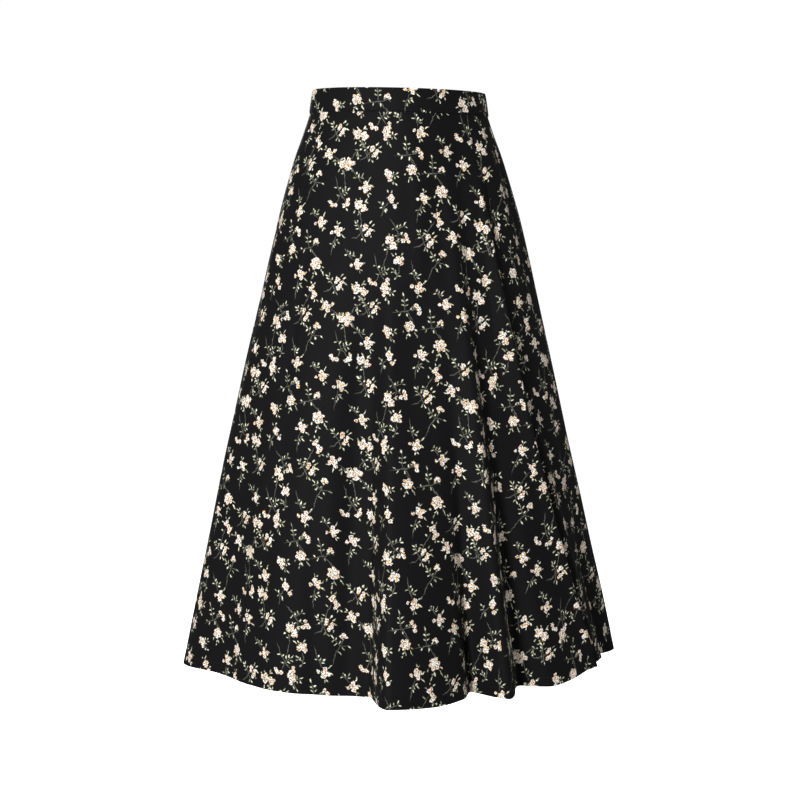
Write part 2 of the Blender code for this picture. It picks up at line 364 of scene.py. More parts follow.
class Wire:
    # a socket that can be written into sums
    def __init__(self, nodes, socket):
        self.nodes, self.socket = nodes, socket

    def maths(self, operation, *others, clamp=False):
        inputs = dict(enumerate((self,) + others))
        return self.nodes.add("ShaderNodeMath", {"operation": operation, "use_clamp": clamp}, inputs)

    def reflected(self, operation, other):
        return self.nodes.add("ShaderNodeMath", {"operation": operation}, {0: other, 1: self})

    def __add__(self, other): return self.maths("ADD", other)
    def __radd__(self, other): return self.maths("ADD", other)
    def __sub__(self, other): return self.maths("SUBTRACT", other)
    def __rsub__(self, other): return self.reflected("SUBTRACT", other)
    def __mul__(self, other): return self.maths("MULTIPLY", other)
    def __rmul__(self, other): return self.maths("MULTIPLY", other)
    def __truediv__(self, other): return self.maths("DIVIDE", other)
    def __rtruediv__(self, other): return self.reflected("DIVIDE", other)
    def __lt__(self, other): return self.maths("LESS_THAN", other)
    def __gt__(self, other): return self.maths("GREATER_THAN", other)
    def __abs__(self): return self.maths("ABSOLUTE")

    def most(self, other): return self.maths("MAXIMUM", other)
    def least(self, other): return self.maths("MINIMUM", other)

    def timesPlus(self, factor, extra, clamp=False):
        return self.maths("MULTIPLY_ADD", factor, extra, clamp=clamp)

    def ramp(self, span):
        # 0 at the first value and 1 at the second, which may be the lower one
        start, full = span
        return self.timesPlus(1 / (full - start), -start / (full - start), clamp=True)


class Nodes:
    def __init__(self, material):
        self.tree = material.node_tree

    def add(self, kind, settings=None, inputs=None, output=0):
        node = self.tree.nodes.new(kind)
        for name, value in (settings or {}).items():
            setattr(node, name, value)
        for name, value in (inputs or {}).items():
            if isinstance(value, Wire):
                self.tree.links.new(value.socket, node.inputs[name])
            else:
                node.inputs[name].default_value = value
        return Wire(self, node.outputs[output])

    def vector(self, operation, *values, output=0):
        return self.add("ShaderNodeVectorMath", {"operation": operation}, dict(enumerate(values)), output)

    def noise(self, place, scale, detail=2.0, rough=0.5, output=0):
        inputs = {"Vector": place, "Scale": scale, "Detail": detail, "Roughness": rough}
        return self.add("ShaderNodeTexNoise", {"noise_dimensions": "2D"}, inputs, output)

    def mixed(self, factor, a, b):
        return self.add("ShaderNodeMix", {"data_type": "RGBA"}, {0: factor, 6: a, 7: b}, 2)

    def parts(self, vector):
        node = self.add("ShaderNodeSeparateXYZ", {}, {0: vector}).socket.node
        return Wire(self, node.outputs[0]), Wire(self, node.outputs[1])


def setValues(node, values):
    for name, value in values.items():
        node.inputs[name].default_value = value


def shade(red, green, blue):
    # an 8-bit screen colour as linear light
    def line(v):
        v /= 255
        return v / 12.92 if v <= 0.04045 else ((v + 0.055) / 1.055) ** 2.4
    return (line(red), line(green), line(blue), 1.0)


# The print: one half-drop repeat of small posies, blossoms, buds and leaf sprigs. Each row is one motif: its
# kind, its place in the repeat in millimetres, how far it is turned, its size, and -1 where it is mirrored.
floral = {
    "across": 0.1735,        # from one column of the repeat to the next
    "down": 0.2098,          # the next column drops by half of this
    "chart": (166.0, 204.5),     # the same repeat in the rows' own millimetres
    "skew": (-0.0135, 0.065),    # how far the cloth hangs off its grain, across and down
    "columns": ("kind", "across", "down", "turn", "size", "flip"),
    "motifs": (
        ("posy", 21.2, 19.5, 0, 0.95, 1),
        ("oval", 4, 58, 0, 1.05, 1),
        ("budded", 47.7, 53, 0, 1, 1),
        ("branch", 70.2, 21.2, 0, 1, 1),
        ("budded", 83, 72, 20, 0.95, 1),
        ("fork", 33.1, 84.8, 0, 1, 1),
        ("crescent", 47.5, 81, 0, 1, 1),
        ("round", 37, 104, 0, 0.9, 1),
        ("oval", 7.5, 112.5, 20, 0.95, 1),
        ("fork", 67.6, 104.7, 0, 1, 1),
        ("rosebud", 76.8, 96.7, 0, 1, 1),
        ("round", 76.8, 127.2, 0, 1.05, 1),
        ("budded", 53, 140.5, 180, 0.95, -1),
        ("pair", 11.5, 144.5, 0, 1, 1),
        ("tall", 72, 163.5, 0, 1, 1),
        ("drop", 110, 46.4, 0, 1, 1),
        ("double", 114, -2.7, 0, 0.95, 1),
        ("budded", 144, 27.8, 20, 1, 1),
        ("double", 136.5, 51.7, 0, 1, 1),
        ("twin", 147, 86.1, 0, 1, 1),
        ("budded", 107, 85, 180, 0.95, -1),
        ("twin", 110, 156, 0, 1, 1),
        ("budded", 133.5, 129, 22, 0.92, 1),
        ("drop", 163, 150, 0, 1, 1),
        ("double", 134.5, 162.5, 16, 1.1, 1),
        ("twin", 155, 187, 0, 0.95, 1),
        ("budded", 92.8, 185.5, 215, 1, 1),
        ("twin", 62.3, 196, 0, 1, 1),
        ("double", 11, 200, -20, 1, 1),
        ("hook", 20.5, 185.5, 0, 1, 1),
        ("posy", 121.9, 200, 150, 0.9, 1),
    ),
    "blossomTight": 1.02,    # over 1 draws every blossom in
    "blossomRadius": 3.0,    # of a middling blossom, mm
    "petalRagged": 0.9,      # how far the petals' outlines wander, in radii
    "petalEye": 0.24,        # a blossom's dark eye, in radii
    "leafHalf": 0.7,         # half of a leaf's width, mm
    "leafLong": 0.72,        # share of its row's length that a leaf fills
    "stemHalf": 0.32,        # half of a stem's width, mm
    "outline": 1.2,          # how far the black that backs each blossom shows past it, mm
    "crispEdge": 2.6,        # how quickly a printed edge turns from off to on, for each mm
    "wanderReach": 0.0036,   # how far a drawn line wavers
    # grains for each metre
    "wanderScale": 230.0,
    "raggedScale": 470.0,
    "petalScale": 400.0,
    # spans over which each goes from off to on
    "petalGaps": (0.1, 0.016667),
    "veins": (0.3125, 0.9375),
    "leafBacking": (2.0, 1.28571),
}
# Each kind of motif in its own millimetres, x to the right and y up: its blossoms as (x, y, radius), then its
# leaves and its stems from foot to tip.
motifKinds = {
    "posy": (
        ((-3.2, -1.8, 3.6), (1.6, -1, 3.2), (-0.4, 3.6, 3), (4.9, 2.6, 2.9), (4.6, -3.8, 2.8)),
        ((3, 6.4, 7.4, 11.6), (-5, 4.8, -10.6, 10.2), (-3, 6.2, -3.8, 10.6), (-1.4, -19, -6.4, -15.4),
         (-4.6, -14.2, -9.2, -10.2), (-5.8, -17.2, -10.4, -16.4), (-2.2, -17.2, -3.8, -12.2),
         (-1, -22, 4.2, -21), (-2.4, -23, -5, -26.8)),
        ((0.6, -7, 1.2, -16), (1.2, -14.5, -2.6, -25), (-1, -20, -8, -13)),
    ),
    "round": (
        ((0, 0.2, 3), (5, 1.2, 2.7), (1.6, 5.2, 2.8), (-3.6, 4, 2.7), (-5.2, -1.2, 2.7), (-1.8, -5, 2.8),
         (3.6, -4, 2.7)),
        ((6.2, -6.2, 12, -16.4), (7.4, -3.6, 11.8, -6.4), (-1.4, -9, 1.8, -15.6), (-0.8, -11, -4.6, -13),
         (-3, -14.6, -5.4, -19.8), (-8.2, -5.4, -9.4, -9.8)),
        ((1.4, 8, -1.6, 13), (-0.6, -8, -3.4, -15.6)),
    ),
    "oval": (
        ((-0.6, 5.4, 2.7), (-3.2, 1.2, 2.6), (2.4, 1.4, 2.8), (-0.8, -3, 2.8), (3.2, -3.8, 2.2),
         (-1.2, -7.4, 2.4)),
        ((6.4, -2.6, 7.6, 2.6), (9.2, -2.6, 14.8, -0.6), (8.8, -4.2, 12.4, -8.2), (6.2, -4.4, 6.8, -9),
         (1.4, -10.6, 1, -15.4), (3.6, -13.6, 6.2, -18.6)),
        ((4.4, -1.6, 9.8, -3.6), (1.6, -7, 5.2, -17)),
    ),
    "budded": (
        ((1.6, 4.8, 3), (-2.2, 0.8, 2.7), (-1.8, -4.6, 3.3), (4, -2.2, 2.9), (1.4, 0.6, 2.6), (-8.4, 1.4, 2.3)),
        ((-5, 15, -2.4, 20.8), (-1.6, 14.4, 3.8, 18.8), (-3.2, 13.2, 2.2, 12), (-7.6, 17.4, -12.6, 17.8),
         (-6, 19.6, -4.8, 24), (4.6, 4.6, 11.6, 10.8), (5.2, 1.4, 10.8, -4.2), (0.4, -8.4, 3.8, -12.4),
         (-0.2, -8.8, -1.6, -14.6)),
        ((-3.4, 8, -7.4, 19.8), (-7, 18, -9.2, 32), (-6.4, 16.8, 0.2, 12.6)),
    ),
    "pair": (
        ((-2.4, 0.6, 2.8), (1.8, 1.4, 2.8), (0.2, -3, 2.8), (-0.4, 4.4, 2.2), (4.2, -9.2, 2.9)),
        ((-4, 7, -6.2, 12.2), (-1, 7, 1.4, 12), (5.6, -6, 9.2, -3.8), (-11.4, -10.6, -16, -12.4),
         (-13, -6.4, -18, -3.6), (-11.6, -9, -11, -3.8), (-8.8, -12.4, -5, -15.8), (-8.4, -13.4, -6.6, -19)),
        ((-3, -3.8, -10.4, -13), (-9.8, -11.6, -12.8, -23), (-9.8, -11.6, -14, -5.4)),
    ),
    "tall": (
        ((-2.6, 2.6, 3.1), (0.8, 5.6, 2.5), (1.6, -1.6, 2.9), (2.8, -6.4, 2.8), (5.8, -4.8, 2.2),
         (0.8, -9.4, 2.2)),
        ((-1.6, 8.8, -1.2, 13.4), (2.8, 8, 5.6, 12.4), (-5.4, 5, -9.4, 6.8), (4, -11, 2, -16.6),
         (5.2, -11.6, 9.6, -15), (-7.6, -8, -11.6, -3.4), (-13, -19, -18.4, -17.4), (-15, -22.6, -20.6, -22.4)),
        ((-4.4, -5.4, -11, -15.6), (-10.2, -14, -16, -26.6), (-15, -25, -27, -30.4)),
    ),
    "double": (
        ((-4.6, 3.2, 2.9), (0.2, 4, 2.8), (-3.6, -1.8, 3.1), (1, -0.8, 2.7), (5.4, -1.2, 2.9), (4.4, -6, 3.1),
         (8.2, -4.8, 2.2)),
        ((-4.4, 5.8, -6, 9.8), (1, 6.6, -0.6, 10.6), (5.4, 2.8, 10.6, 8.8), (6.8, 4.8, 11.2, 3.4),
         (-5.6, -6, -8.6, -10.4), (0.2, -11, -4.6, -13.4), (0.4, -10.2, -2.6, -7.2)),
        ((0.4, -7.2, 1.8, -21), (1.6, -19, 2.4, -35)),
    ),
    "twin": (
        ((-2.6, 6.8, 3.1), (-4.6, 3.2, 2.2), (1, -1.8, 3), (3.2, 2.2, 2.5), (-1.8, -4.8, 2.6)),
        ((1.8, 9, 5.8, 14.4), (3.8, 6, 10, 9.8), (5, 3.4, 10.4, -0.8), (-11.4, 4.6, -16.2, 2.8),
         (-12.8, 7.4, -18.2, 8.8), (-14.4, 10, -19.2, 14.2), (-13.6, 10.4, -13.2, 15.8), (-10.4, 5, -7.8, 9.8),
         (-6.4, -8, -8.8, -12.8), (-5, -9.2, -2.2, -14.6), (4, -4.6, 3.8, -9.4)),
        ((-8.4, -1.6, -2, 2.4), (-8, -1, -14.4, -8), (-13, -7, -20.4, -9.4), (-8.6, -2, -5, -10.2),
         (-8.2, -1.6, -15.8, 13)),
    ),
    "drop": (
        ((-13.8, 0.6, 2.6), (-11.4, -3.6, 2.8), (-6.4, -4.4, 2.8), (10.6, 2.4, 2.4), (9.6, -2.8, 3.2),
         (5.4, -5.6, 2.6)),
        ((-4.6, 19.2, -9.8, 19), (3.2, 12.4, 3, 18.8), (6.6, 14, 7, 20.4), (8.2, 14.4, 13.8, 18.4),
         (6.8, 12.6, 11, 9.2), (3.4, 10.8, 7.4, 6.8), (8.4, -8, 9.6, -13.2), (-0.6, 8.2, -5.8, 9),
         (-2.4, 16.4, 0.8, 20.6)),
        ((0.8, 8.8, -5, 22.4), (-4.4, 20.4, -6.8, 32.4), (0.2, 10, -5.6, -1.4), (0.6, 10.2, 6.8, 0.2),
         (0.4, 10.2, 8.4, 14.6)),
    ),
    "branch": (
        ((8.4, 16.8, 3), (5.2, 15.2, 2.2), (10.8, 13.8, 2)),
        ((11.2, 2.2, 16.8, -0.8), (-4.2, 11.4, -8.8, 18.2), (-3.4, 10.6, -9, 9.2), (-2.6, 10, -0.8, 15.8),
         (-1.6, 6.8, -6.6, 3), (0.6, 5.2, 3.6, 9.6), (-2.4, -3.8, 3.4, -9.8), (4.2, 1.6, 6.8, -4),
         (8, 10, 4.8, 13)),
        ((-9.8, -19, -4.8, -5.6), (-6, -7.6, 4.2, 6), (3.4, 4.6, 8.8, 14.6), (2.8, 3.2, 12.2, 1.8),
         (1.8, 2.4, -5, 12.4)),
    ),
    "fork": (
        (),
        ((-4, 18.4, -6, 25), (-3.4, 12, -8, 14.8), (-2.8, 13.2, 2, 15.6), (-3.2, 7, -7.6, 8.8),
         (-2.4, 6.6, 2.2, 9.8), (-8, -1.6, -10.4, -7), (0.2, -1.8, 0.8, -7.6), (4.6, 1.8, 6, 6.6),
         (-11.4, -1.6, -14.8, 1.8)),
        ((-15.4, -2.8, 1.2, 0.4), (-0.6, 1, 8.4, -12.6), (-0.8, -0.6, 13, 4.6), (-2.6, 0.2, -4.4, 20.6)),
    ),
    "crescent": (
        ((-2.6, 4.8, 2.6), (1, 0.6, 2.9), (1.6, -4.6, 2.8)),
        ((-4, 0.6, -7.8, 3),),
        ((-1.4, -0.6, -9, -0.2),),
    ),
    "hook": (
        ((10.4, -4.2, 2.6), (11.6, -9, 2.8), (6.6, -11.8, 2.8), (13.2, -12.4, 2.3)),
        ((2, 4.6, 3.2, 9.8), (6.8, 7, 9.4, 13.2), (7.6, 5.8, 12.6, 5.4), (-4.2, 4, -8.8, 0.6),
         (-1, 3, -1.6, 8.6), (3.4, -5.2, 5.4, -0.6), (-1.4, -5.6, -5.4, -8)),
        ((-10.6, 14.6, -4.4, 6.6), (-5.4, 8.6, 0.6, -4.6), (0.2, -2.6, -0.6, -16.4), (-2.4, 1.6, 8.4, 7.4),
         (-0.4, -2.4, 8, -8)),
    ),
    "rosebud": (
        ((0.4, 0.6, 2.8), (-2.4, -1, 2), (2.2, -2.2, 2)),
        ((-2, -3.4, -6, -4.6),),
        ((0.2, -2, 3.4, -7),),
    ),
}


def inside(distance, radius):
    crisp = floral["crispEdge"]
    return distance.timesPlus(-crisp, radius * crisp + 0.5, clamp=True)


def nearestMotif(nodes, lattice, kind):
    # the cloth seen from the nearest motif of this kind, in that motif's own millimetres
    best = nearest = None
    for row in tableRows(floral["columns"], floral["motifs"]):
        if row["kind"] != kind:
            continue
        chartAcross, chartDown = floral["chart"]
        acrossShare = row["across"] / chartAcross
        downShare = -row["down"] / chartDown - 0.5 * acrossShare
        away = nodes.vector("SUBTRACT", lattice, (acrossShare, downShare, 0.0))
        away = nodes.vector("WRAP", away, (0.5, 0.5, 0.5), (-0.5, -0.5, -0.5))
        turn, flip = math.radians(row["turn"]), row["flip"]
        wide, tall = chartAcross / row["size"], chartDown / row["size"]
        # lattice shares back to millimetres, turned about the motif's middle
        xRow = (flip * (math.cos(turn) * wide + math.sin(turn) * tall / 2), flip * math.sin(turn) * tall, 0.0)
        yRow = (-math.sin(turn) * wide + math.cos(turn) * tall / 2, math.cos(turn) * tall, 0.0)
        local = nodes.add("ShaderNodeCombineXYZ", {}, {
            0: nodes.vector("DOT_PRODUCT", away, xRow, output=1),
            1: nodes.vector("DOT_PRODUCT", away, yRow, output=1),
            2: 1.0,
        })
        distance = nodes.vector("LENGTH", local, output=1)
        if best is None:
            best, nearest = distance, local
        else:
            choice = {0: distance < best, 4: nearest, 5: local}
            nearest = nodes.add("ShaderNodeMix", {"data_type": "VECTOR"}, choice, 1)
            best = distance.least(best)
    return nearest


def ovalSquare(nodes, place, x, y, degrees, halfWide, halfLong):
    # squared distance from an oval's middle, 1 at its edge; the place's third part is 1, so each dot product
    # also moves the oval to its middle
    turn = math.radians(degrees)
    c, s = math.cos(turn), math.sin(turn)
    across = nodes.vector("DOT_PRODUCT", place, tuple(v / halfWide for v in (c, s, -c * x - s * y)), output=1)
    along = nodes.vector("DOT_PRODUCT", place, tuple(v / halfLong for v in (-s, c, s * x - c * y)), output=1)
    return along.timesPlus(along, across * across)


def nearer(best, share):
    return share if best is None else best.least(share)


def spindles(nodes, place, rows, halfWide, long, best):
    # ovals from foot to tip
    for x0, y0, x1, y1 in rows:
        degrees = math.degrees(math.atan2(x0 - x1, y1 - y0))
        halfLong = math.hypot(x1 - x0, y1 - y0) / 2 * long
        x, y = (x0 + x1) / 2, (y0 + y1) / 2
        best = nearer(best, ovalSquare(nodes, place, x, y, degrees, halfWide, halfLong))
    return best


def printMasks(nodes, clothPlace):
    # a drawn line never runs quite true
    wander = nodes.noise(clothPlace, floral["wanderScale"], rough=0.6, output=1)
    wander = nodes.vector("SUBTRACT", wander, (0.5, 0.5, 0.5))
    reach = floral["wanderReach"]
    place = nodes.vector("MULTIPLY_ADD", wander, (reach, reach, 0.0), clothPlace)
    x, y = nodes.parts(place)
    skewAcross, skewDown = floral["skew"]
    columns = (x + y * skewAcross) * (1 / floral["across"])
    rows = (y + x * skewDown) * (1 / floral["down"]) - columns * 0.5
    lattice = nodes.add("ShaderNodeCombineXYZ", {}, {0: columns, 1: rows})
    radius, leafHalf, stemHalf = floral["blossomRadius"], floral["leafHalf"], floral["stemHalf"]
    blossom = leaf = stem = None
    for kind, (blossoms, leaves, stems) in motifKinds.items():
        motif = nearestMotif(nodes, lattice, kind)
        for across, up, size in blossoms:
            away = nodes.vector("DISTANCE", motif, (across, up, 1.0), output=1)
            blossom = nearer(blossom, away * (1 / size))
        leaf = spindles(nodes, motif, leaves, leafHalf, floral["leafLong"], leaf)
        stem = spindles(nodes, motif, stems, stemHalf, 1.0, stem)
    leaf, stem = leaf.maths("SQRT"), stem.maths("SQRT")
    ragged = nodes.noise(clothPlace, floral["raggedScale"], 1.0)
    blossom = blossom * floral["blossomTight"] + (ragged - 0.5) * floral["petalRagged"]
    petalEdge = nodes.add("ShaderNodeTexVoronoi", {"voronoi_dimensions": "2D", "feature": "DISTANCE_TO_EDGE"},
                          {"Vector": clothPlace, "Scale": floral["petalScale"], "Randomness": 0.9})
    backing = inside(blossom * radius, radius + floral["outline"]).most(leaf.ramp(floral["leafBacking"]))
    return {
        "petals": inside(blossom * radius, radius),
        "eyes": inside(blossom * radius, radius * floral["petalEye"]),
        "gaps": petalEdge.ramp(floral["petalGaps"]),
        "leaves": inside(leaf * leafHalf, leafHalf),
        "veins": leaf.ramp(floral["veins"]),
        "stems": inside(stem * stemHalf, stemHalf),
        "backing": backing,
    }


inks = {
    "ground": (0.008, 0.0074, 0.0084, 1.0),
    "backing": (0.0028, 0.0026, 0.0028, 1.0),
    "thread": (0.012, 0.012, 0.013, 1.0),
    "white": shade(252, 255, 255),
    "cream": shade(253, 255, 250),
    "peach": shade(214, 157, 64),
    "rust": shade(160, 106, 34),
    "gap": shade(66, 52, 38),
    "stem": shade(118, 118, 108),
    "leafPale": shade(255, 255, 226),
    "leafDeep": shade(150, 156, 126),
}
printedCloth = {
    # grains for each metre
    "yarnScale": 1900.0,
    "toneScale": 190.0,
    "patchScale": 440.0,
    "grainScale": 330.0,
    "yarnFade": (0.24, 0.86),    # how the yarns break up the print: by how much, and what stays at least
    "yarnDark": 0.55,            # of the ground's colour
    # spans over which each goes from off to on
    "paleLeaves": (0.416667, 0.583333),
    "whitePetals": (0.6, 0.35),
    "warmPetals": (0.563889, 0.619444),
    "darkSpecks": (0.35, 0.294444),
    # and how strongly it then shows
    "veinShows": 0.3,
    "gapShows": 0.2,
    "speckShows": 0.8,
    "stitchShows": 0.8,
    "roughness": 0.6,
    "printRoughness": 0.7,
    "specular": 0.05,
    "sheen": 0.012,
    "reverse": 0.36,         # how much of the print shows on the wrong side
    "weavePitch": 0.00055,
    "hemStitch": 0.0135,     # height of the hem's stitching above the edge
    "stitchLength": 0.003,
    "stitchShare": 0.76,     # of its length that a stitch fills
    "stitchHalf": 0.35,      # half of a stitch's width, mm
    "grooveHalf": 0.9,       # half of the groove that it pulls in, mm
    "weaveHigh": 0.00002,
    "grainHigh": 0.00016,
    "stitchHigh": 0.0003,
    "grooveDeep": 0.00018,
    "sheenRoughness": 0.45,
}


def clothFinish(name, look):
    material = bpy.data.materials.new(name)
    material.use_nodes = True
    nodes = Nodes(material)
    shader = material.node_tree.nodes["Principled BSDF"]
    clothPlace = nodes.add("ShaderNodeUVMap", {"uv_map": "cloth"})
    trim = nodes.add("ShaderNodeUVMap", {"uv_map": "trim"})
    masks = printMasks(nodes, clothPlace)

    # the yarns' slight light and dark, and dye that took unevenly
    yarns = nodes.noise(clothPlace, look["yarnScale"])
    tones = nodes.noise(clothPlace, look["toneScale"], 1.0)
    patches = nodes.noise(clothPlace, look["patchScale"], 0.0)
    darkYarn = tuple(c * look["yarnDark"] for c in inks["ground"][:3]) + (1.0,)
    ground = nodes.mixed(yarns, darkYarn, inks["ground"])
    green = nodes.mixed(tones.ramp(look["paleLeaves"]), inks["leafDeep"], inks["leafPale"])
    green = nodes.mixed(masks["veins"] * look["veinShows"], green, inks["leafDeep"])
    bloom = nodes.mixed(tones.ramp(look["whitePetals"]), inks["cream"], inks["white"])
    bloom = nodes.mixed(masks["gaps"] * look["gapShows"], bloom, inks["gap"])
    bloom = nodes.mixed(patches.ramp(look["warmPetals"]), bloom, inks["peach"])
    bloom = nodes.mixed(patches.ramp(look["darkSpecks"]) * look["speckShows"], bloom, inks["gap"])
    bloom = nodes.mixed(masks["eyes"], bloom, inks["rust"])
    side, height = nodes.parts(trim)
    keep = (side > 0.0).timesPlus(1 - look["reverse"], look["reverse"])
    keep = keep * yarns.timesPlus(*look["yarnFade"], clamp=True)
    colour = nodes.mixed(masks["backing"] * keep, ground, inks["backing"])
    colour = nodes.mixed(masks["stems"] * keep, colour, inks["stem"])
    colour = nodes.mixed(masks["leaves"] * keep, colour, green)
    colour = nodes.mixed(masks["petals"] * keep, colour, bloom)
    inked = masks["petals"].most(masks["leaves"])

    # weave, crepe grain and the hem's stitches, raised
    x, y = nodes.parts(clothPlace)
    pitch = 2 * math.pi / look["weavePitch"]
    weave = (x * pitch).maths("SINE") * (y * pitch).maths("SINE")
    grain = nodes.noise(clothPlace, look["grainScale"], 4.0)
    fromRow = abs(height - look["hemStitch"]) * 1000    # mm
    run = (x / look["stitchLength"]).maths("FRACT")
    stitch = inside(fromRow, look["stitchHalf"]) * (abs(run - 0.5) < look["stitchShare"] / 2)
    groove = inside(fromRow, look["grooveHalf"])
    relief = weave * look["weaveHigh"] + grain * look["grainHigh"]
    relief = relief + stitch * look["stitchHigh"] - groove * look["grooveDeep"]
    colour = nodes.mixed(stitch * look["stitchShows"], colour, inks["thread"])
    bump = nodes.add("ShaderNodeBump", {}, {"Strength": 1.0, "Distance": 1.0, "Height": relief})
    rough = inked.timesPlus(look["printRoughness"] - look["roughness"], look["roughness"])
    for wire, socket in ((colour, "Base Color"), (bump, "Normal"), (rough, "Roughness")):
        nodes.tree.links.new(wire.socket, shader.inputs[socket])
    setValues(shader, {
        "Specular IOR Level": look["specular"],
        "Sheen Weight": look["sheen"],
        "Sheen Roughness": look["sheenRoughness"],
    })
    print("finish", name, "has", len(nodes.tree.nodes), "nodes")
    return material


printedFinish = clothFinish("printedCloth", printedCloth)
bandFinish = printedFinish.copy()
bandFinish.name = "bandCloth"


panelMake = {
    "columnDegrees": 0.85,
    "edgeSteps": (0.008, 0.022, 0.045, 0.08, 0.12),    # closer columns at the sides, as shares of a stretch
    "rowSpacing": 0.005,
    "tuckRows": (1.0, 0.6, 0.3, 0.12),       # shares of the tuck
    "waistRows": (0.0, 0.0008, 0.002, 0.0035, 0.0055, 0.009),
    "hemRows": (0.011, 0.007, 0.0035, 0.0015),
    "turnStep": 0.0012,      # over which turned hem and allowances rise inside
    "cloth": 0.00045,        # thickness of one layer
    "hemDeep": 0.0155,       # height of the turned hem
    "hemThick": 0.0012,
    "hemSteps": 4,           # round the hem's fold
    "allowance": 0.01,       # seam allowance pressed open inside the side seams
    "seamRoll": 0.001,       # how far the cloth dips into a side seam
    "seamRollWide": 0.0026,
    "waistRoll": 0.0006,     # the same at the waist seam
    "tuck": 0.009,           # what runs on up inside the band
    "tuckDeep": 0.00015,     # how far under the band's line it lies there
    "tuckRollWide": 0.0015,
    "fanRadius": 0.42,       # of the flat panel's waist edge
    "fanDegrees": 48.0,      # that the flat panel fans out
}


def panelLevels(make):
    top = skirt["bandHeight"] + skirt["seamGap"]
    hem = skirt["length"]
    tuck = [top - make["tuck"] * share for share in make["tuckRows"]]
    near = [top + step for step in make["waistRows"]]
    last = [hem - make["hemDeep"] - make["turnStep"], hem - make["hemDeep"]]
    last += [hem - step for step in make["hemRows"]] + [hem - make["hemThick"] / 2]
    count = round((last[0] - near[-1]) / make["rowSpacing"])
    middle = [near[-1] + (last[0] - near[-1]) * k / count for k in range(1, count)]
    return tuck + near + middle + last


def seamDips(fromSide, below, make):
    # how far the cloth lies under its form: rolled into the seams, and inside the band above its edge
    side = make["seamRoll"] * np.exp(-(fromSide / make["seamRollWide"]) ** 2)
    tucked = below < 0
    nearWaist = np.exp(-(below / np.where(tucked, make["tuckRollWide"], make["seamRollWide"])) ** 2)
    rest = np.where(tucked, make["tuckDeep"], 0.0)
    return side * np.where(tucked, nearWaist, 1.0) + rest + (make["waistRoll"] - rest) * nearWaist


def flatPlaces(grid, levels, centreDegrees, ring, make):
    # where each point lies on the panel's flat cut, a fan
    fan = make["fanRadius"]
    places = np.zeros(grid.shape[:2] + (2,))
    for r, down in enumerate(levels):
        along = arcLengths(grid[r])
        centre = np.interp(centreDegrees, ring.degrees(down), along)
        radius = fan + down - skirt["bandHeight"]
        angle = (along - centre) / radius
        places[r, :, 0] = radius * np.sin(angle)
        places[r, :, 1] = -radius * np.cos(angle) + fan
    return places


def makePanel(name, node, firstLine, lastLine, centreDegrees, finish, printShift):
    make, top = panelMake, skirt["bandHeight"]
    ring = Ring(firstLine, lastLine, make["columnDegrees"], make["edgeSteps"])
    levels = panelLevels(make)
    grid = ring.hang(levels)
    places = flatPlaces(grid, levels, centreDegrees, ring, make) + np.array(printShift)
    normals = outwardNormals(grid)
    across = np.array([arcLengths(row) for row in grid])
    fromSide = np.minimum(across, across[:, -1:] - across)
    down = np.array(levels)[:, None]
    below = down - top - skirt["seamGap"]
    dip = seamDips(fromSide, below, make)
    outer = pressedTogether(grid - normals * dip[..., None])

    # the hem's fold, then the inner face with the turned hem and the pressed-open seam allowances
    hemRadius = make["hemThick"] / 2
    fall = outer[-1] - outer[-2]
    fall /= np.linalg.norm(fall, axis=1, keepdims=True)
    turns = []
    for k in range(1, make["hemSteps"]):
        turn = math.pi * k / make["hemSteps"]
        inward = normals[-1] * hemRadius * (1 - math.cos(turn))
        turns.append(outer[-1] + fall * hemRadius * math.sin(turn) - inward)
    single = make["cloth"]
    inHem = down > skirt["length"] - make["hemDeep"] - make["turnStep"] / 2
    allowance = np.clip((make["allowance"] - fromSide) / make["turnStep"] + 0.5, 0, 1)
    allowance = np.where(below < 0, 0.0, allowance)
    thick = np.where(inHem, make["hemThick"], single + allowance * single)
    innerFace = outer - normals * thick[..., None]
    loop = np.concatenate([outer, np.array(turns), innerFace[::-1]])

    height = skirt["length"] - np.broadcast_to(down, fromSide.shape)
    trimOuter = np.stack([fromSide + trimLift, height], axis=-1)
    trimInner = np.stack([-fromSide - trimLift, height], axis=-1)
    trimTurn = trimOuter[-1:].repeat(len(turns), axis=0)
    trimTurn[..., 1] = 0.0
    placeTurn = places[-1:].repeat(len(turns), axis=0)
    trims = np.concatenate([trimOuter, trimTurn, trimInner[::-1]])
    clothPlaces = np.concatenate([places, placeTurn, places[::-1]])
    piece = clothMesh(name, loop, clothPlaces, trims, finish)
    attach(piece, "root")
    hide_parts(node)
    fanInner = make["fanRadius"]
    fanOuter = fanInner + skirt["length"] - top
    fanAngle = math.radians(make["fanDegrees"])
    flatWidth = 2 * fanOuter * math.sin(fanAngle / 2)
    flatLength = fanOuter - fanInner * math.cos(fanAngle / 2)
    flatArea = fanAngle * (fanOuter ** 2 - fanInner ** 2) / 2
    made = round(areaOf(outer), 4)
    print(name, "made:", len(piece.data.polygons), "faces, cloth", made, "of", round(flatArea, 4))


makePanel("frontPanel", "front_panel", "leftSide", "rightSide", 0.0,
          printedFinish, (0.02, -0.0318))
makePanel("backPanel", "back_panel", "rightSide", "leftSideAgain", 180.0,
          printedFinish, (0.061, 0.037))


